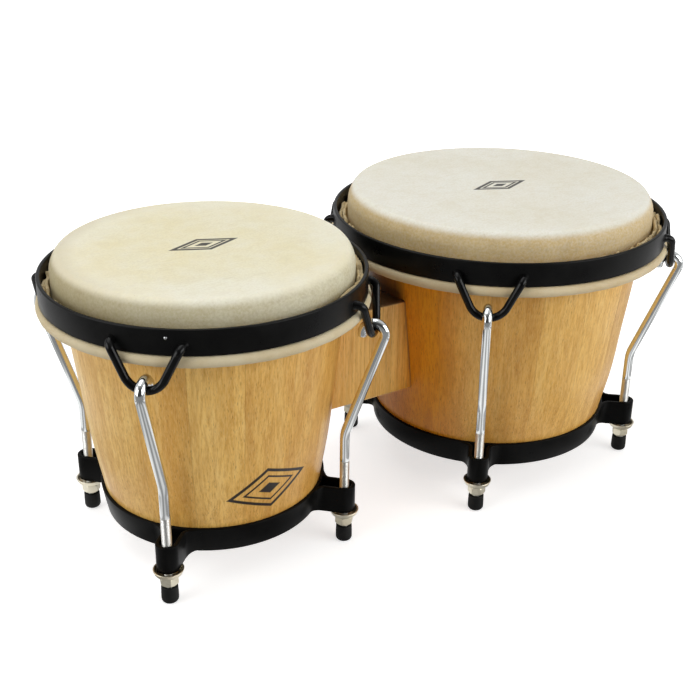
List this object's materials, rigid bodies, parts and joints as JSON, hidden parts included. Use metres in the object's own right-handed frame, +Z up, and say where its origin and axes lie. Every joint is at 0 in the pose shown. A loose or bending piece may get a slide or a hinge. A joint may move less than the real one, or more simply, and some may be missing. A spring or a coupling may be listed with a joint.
{
  "type": "bongo drums",
  "caption": "Pair of open-bottomed tapered wooden hand drums joined by a centre block, with rawhide heads, steel rims and hooked tension rods standing on rubber feet.",
  "frame": {"origin": "on the floor under the middle of the pair, at the bottom centre of the bounding box", "axes": "+X runs from the small drum to the large drum, +Z is up, and -Y is the side the player does not sit at"},
  "size_m": [0.4266, 0.225, 0.1913],
  "materials": {
    "shell_wood": "satin lacquer",
    "block_wood": "satin lacquer",
    "rawhide": "dry matte",
    "black_steel": "satin powder coat",
    "chrome": "polished",
    "nickel_steel": "nickel plated",
    "zinc_steel": "zinc plated",
    "rubber": "matte"
  },
  "bodies": {
    "root": {"centre_block": "block_wood", "block_washers": "zinc_steel", "block_nuts": "zinc_steel", "block_bolt_lower": "zinc_steel", "block_bolt_upper": "zinc_steel", "small_shell": "shell_wood", "small_bottom_ring": "black_steel", "small_skin_head": "rawhide", "small_skin_collar": "rawhide", "small_washer_front_left": "nickel_steel", "small_washer_front_right": "nickel_steel", "small_washer_back_right": "nickel_steel", "small_washer_back_left": "nickel_steel", "large_shell": "shell_wood", "large_bottom_ring": "black_steel", "large_skin_head": "rawhide", "large_skin_collar": "rawhide", "large_washer_front_left": "nickel_steel", "large_washer_front_right": "nickel_steel", "large_washer_back_right": "nickel_steel", "large_washer_back_left": "nickel_steel"},
    "small_rim_set": {"small_flesh_hoop": "zinc_steel", "small_rim": "black_steel", "small_rim_loops": "black_steel"},
    "small_rod_set_front_left": {"small_rod_front_left": "chrome", "small_foot_front_left": "rubber"},
    "small_nut_front_left": {"small_nut_front_left": "nickel_steel"},
    "small_rod_set_front_right": {"small_rod_front_right": "chrome", "small_foot_front_right": "rubber"},
    "small_nut_front_right": {"small_nut_front_right": "nickel_steel"},
    "small_rod_set_back_right": {"small_rod_back_right": "chrome", "small_foot_back_right": "rubber"},
    "small_nut_back_right": {"small_nut_back_right": "nickel_steel"},
    "small_rod_set_back_left": {"small_rod_back_left": "chrome", "small_foot_back_left": "rubber"},
    "small_nut_back_left": {"small_nut_back_left": "nickel_steel"},
    "large_rim_set": {"large_flesh_hoop": "zinc_steel", "large_rim": "black_steel", "large_rim_loops": "black_steel"},
    "large_rod_set_front_left": {"large_rod_front_left": "chrome", "large_foot_front_left": "rubber"},
    "large_nut_front_left": {"large_nut_front_left": "nickel_steel"},
    "large_rod_set_front_right": {"large_rod_front_right": "chrome", "large_foot_front_right": "rubber"},
    "large_nut_front_right": {"large_nut_front_right": "nickel_steel"},
    "large_rod_set_back_right": {"large_rod_back_right": "chrome", "large_foot_back_right": "rubber"},
    "large_nut_back_right": {"large_nut_back_right": "nickel_steel"},
    "large_rod_set_back_left": {"large_rod_back_left": "chrome", "large_foot_back_left": "rubber"},
    "large_nut_back_left": {"large_nut_back_left": "nickel_steel"}
  },
  "joints": [
    {"name": "small_head_tension", "type": "slide", "parent": "root", "child": "small_rim_set", "axis": [0, 0, -1], "range_m": [-0.0012, 0.005], "deforming": ["small_skin_collar"]},
    {"name": "small_rod_pull_front_left", "type": "slide", "parent": "root", "child": "small_rod_set_front_left", "axis": [0, 0, -1], "range_m": [-0.0012, 0.005]},
    {"name": "small_nut_turn_front_left", "type": "hinge", "parent": "root", "child": "small_nut_front_left", "pos_m": [-0.17485, -0.06036, 0.015], "axis": [0, 0, 1], "range_deg": [-440, 1810]},
    {"name": "small_rod_pull_front_right", "type": "slide", "parent": "root", "child": "small_rod_set_front_right", "axis": [0, 0, -1], "range_m": [-0.0012, 0.005]},
    {"name": "small_nut_turn_front_right", "type": "hinge", "parent": "root", "child": "small_nut_front_right", "pos_m": [-0.05579, -0.0587, 0.015], "axis": [0, 0, 1], "range_deg": [-440, 1810]},
    {"name": "small_rod_pull_back_right", "type": "slide", "parent": "root", "child": "small_rod_set_back_right", "axis": [0, 0, -1], "range_m": [-0.0012, 0.005]},
    {"name": "small_nut_turn_back_right", "type": "hinge", "parent": "root", "child": "small_nut_back_right", "pos_m": [-0.05745, 0.06036, 0.015], "axis": [0, 0, 1], "range_deg": [-440, 1810]},
    {"name": "small_rod_pull_back_left", "type": "slide", "parent": "root", "child": "small_rod_set_back_left", "axis": [0, 0, -1], "range_m": [-0.0012, 0.005]},
    {"name": "small_nut_turn_back_left", "type": "hinge", "parent": "root", "child": "small_nut_back_left", "pos_m": [-0.17651, 0.0587, 0.015], "axis": [0, 0, 1], "range_deg": [-440, 1810]},
    {"name": "large_head_tension", "type": "slide", "parent": "root", "child": "large_rim_set", "axis": [0, 0, -1], "range_m": [-0.0012, 0.005], "deforming": ["large_skin_collar"]},
    {"name": "large_rod_pull_front_left", "type": "slide", "parent": "root", "child": "large_rod_set_front_left", "axis": [0, 0, -1], "range_m": [-0.0012, 0.005]},
    {"name": "large_nut_turn_front_left", "type": "hinge", "parent": "root", "child": "large_nut_front_left", "pos_m": [0.03695, -0.07377, 0.015], "axis": [0, 0, 1], "range_deg": [-440, 1810]},
    {"name": "large_rod_pull_front_right", "type": "slide", "parent": "root", "child": "large_rod_set_front_right", "axis": [0, 0, -1], "range_m": [-0.0012, 0.005]},
    {"name": "large_nut_turn_front_right", "type": "hinge", "parent": "root", "child": "large_nut_front_right", "pos_m": [0.17462, -0.0639, 0.015], "axis": [0, 0, 1], "range_deg": [-440, 1810]},
    {"name": "large_rod_pull_back_right", "type": "slide", "parent": "root", "child": "large_rod_set_back_right", "axis": [0, 0, -1], "range_m": [-0.0012, 0.005]},
    {"name": "large_nut_turn_back_right", "type": "hinge", "parent": "root", "child": "large_nut_back_right", "pos_m": [0.16475, 0.07377, 0.015], "axis": [0, 0, 1], "range_deg": [-440, 1810]},
    {"name": "large_rod_pull_back_left", "type": "slide", "parent": "root", "child": "large_rod_set_back_left", "axis": [0, 0, -1], "range_m": [-0.0012, 0.005]},
    {"name": "large_nut_turn_back_left", "type": "hinge", "parent": "root", "child": "large_nut_back_left", "pos_m": [0.02708, 0.0639, 0.015], "axis": [0, 0, 1], "range_deg": [-440, 1810]}
  ],
  "couplings": [
    {"joint": "small_rod_pull_front_left", "follows": "small_head_tension", "ratio": 1},
    {"joint": "small_nut_turn_front_left", "follows": "small_head_tension", "rad_per_m": 6283.2},
    {"joint": "small_rod_pull_front_right", "follows": "small_head_tension", "ratio": 1},
    {"joint": "small_nut_turn_front_right", "follows": "small_head_tension", "rad_per_m": 6283.2},
    {"joint": "small_rod_pull_back_right", "follows": "small_head_tension", "ratio": 1},
    {"joint": "small_nut_turn_back_right", "follows": "small_head_tension", "rad_per_m": 6283.2},
    {"joint": "small_rod_pull_back_left", "follows": "small_head_tension", "ratio": 1},
    {"joint": "small_nut_turn_back_left", "follows": "small_head_tension", "rad_per_m": 6283.2},
    {"joint": "large_rod_pull_front_left", "follows": "large_head_tension", "ratio": 1},
    {"joint": "large_nut_turn_front_left", "follows": "large_head_tension", "rad_per_m": 6283.2},
    {"joint": "large_rod_pull_front_right", "follows": "large_head_tension", "ratio": 1},
    {"joint": "large_nut_turn_front_right", "follows": "large_head_tension", "rad_per_m": 6283.2},
    {"joint": "large_rod_pull_back_right", "follows": "large_head_tension", "ratio": 1},
    {"joint": "large_nut_turn_back_right", "follows": "large_head_tension", "rad_per_m": 6283.2},
    {"joint": "large_rod_pull_back_left", "follows": "large_head_tension", "ratio": 1},
    {"joint": "large_nut_turn_back_left", "follows": "large_head_tension", "rad_per_m": 6283.2}
  ]
}
